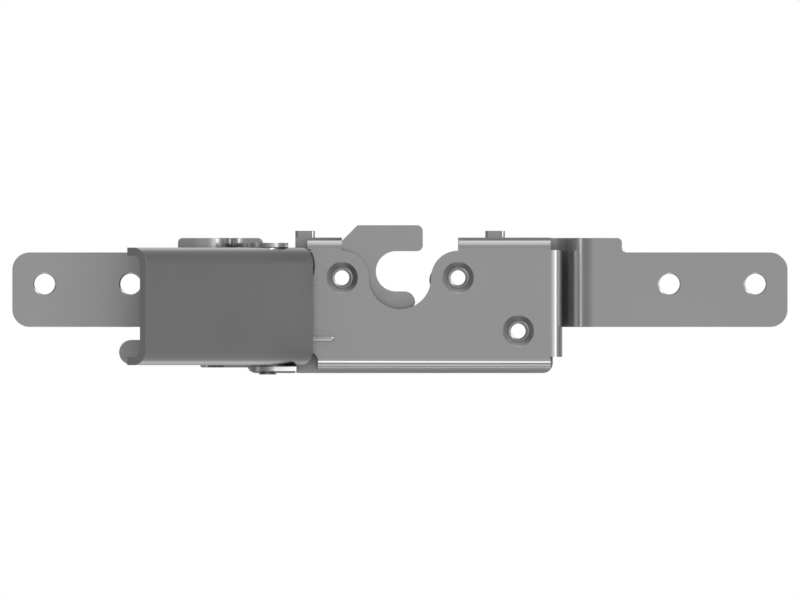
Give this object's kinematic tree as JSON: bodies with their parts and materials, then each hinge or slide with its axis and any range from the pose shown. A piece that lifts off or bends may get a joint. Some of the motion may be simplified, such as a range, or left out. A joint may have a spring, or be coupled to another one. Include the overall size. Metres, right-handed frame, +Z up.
{
  "type": "cab door latch",
  "caption": "Door latch for a vehicle cab: a claw and pawl in a flat case on cranked mounting straps, released by a sprung channel lever that slides a trip bar.",
  "frame": {"origin": "midway between the strap holes, on the rear mounting face of the straps", "axes": "+X along the latch away from the lever, +Y from the front to the back, +Z up, the way the throat opens"},
  "size_m": [0.2636, 0.0903, 0.0508],
  "materials": {
    "strap_steel": "satin zinc",
    "plate_steel": "satin zinc",
    "lever_steel": "satin zinc",
    "claw_steel": "satin",
    "turned_steel": "bright satin",
    "spring_steel": "bright"
  },
  "bodies": {
    "case": {"left_strap": "strap_steel", "right_strap": "strap_steel", "back_plate": "plate_steel", "front_plate": "plate_steel", "claw_bush": "turned_steel", "pawl_bush": "turned_steel", "spare_bush": "turned_steel", "strap_rivets": "turned_steel", "claw_washer": "plate_steel", "claw_spring": "spring_steel", "claw_stop": "turned_steel", "pawl_spring": "spring_steel", "bar_guides": "turned_steel", "lever_bracket": "plate_steel", "bracket_rivets": "turned_steel", "lever_pin": "turned_steel", "lever_washer": "plate_steel", "lever_spring": "spring_steel"},
    "lever": {"lever": "lever_steel", "lever_sleeve": "turned_steel", "release_finger": "plate_steel", "finger_rivets": "turned_steel"},
    "trip_bar": {"trip_bar": "plate_steel", "trip_pin": "turned_steel"},
    "pawl": {"pawl": "claw_steel"},
    "claw": {"claw": "claw_steel"}
  },
  "joints": [
    {"name": "lever_press", "type": "hinge", "parent": "case", "child": "lever", "pos_m": [-0.045, -0.01275, -0.0076], "axis": [0, 0, -1], "range_deg": [0, 30], "stiffness_Nm_per_rad": 0.3, "springref_deg": -22.92, "deforming": ["lever_spring"]},
    {"name": "bar_slide", "type": "slide", "parent": "case", "child": "trip_bar", "axis": [1, 0, 0], "range_m": [0, 0.00646]},
    {"name": "pawl_turn", "type": "hinge", "parent": "case", "child": "pawl", "pos_m": [0.01974, 0.0033, 0.00214], "axis": [0, -1, 0], "range_deg": [0, 40], "deforming": ["pawl_spring"]},
    {"name": "claw_turn", "type": "hinge", "parent": "case", "child": "claw", "pos_m": [-0.01974, 0.0033, 0.00214], "axis": [0, -1, 0], "range_deg": [0, 46], "deforming": ["claw_spring"]}
  ],
  "couplings": [
    {"joint": "bar_slide", "follows": "lever_press", "m_per_rad": 0.012333},
    {"joint": "pawl_turn", "follows": "lever_press", "ratio": 1.3333},
    {"joint": "claw_turn", "follows": "lever_press", "ratio": 1.5333}
  ]
}
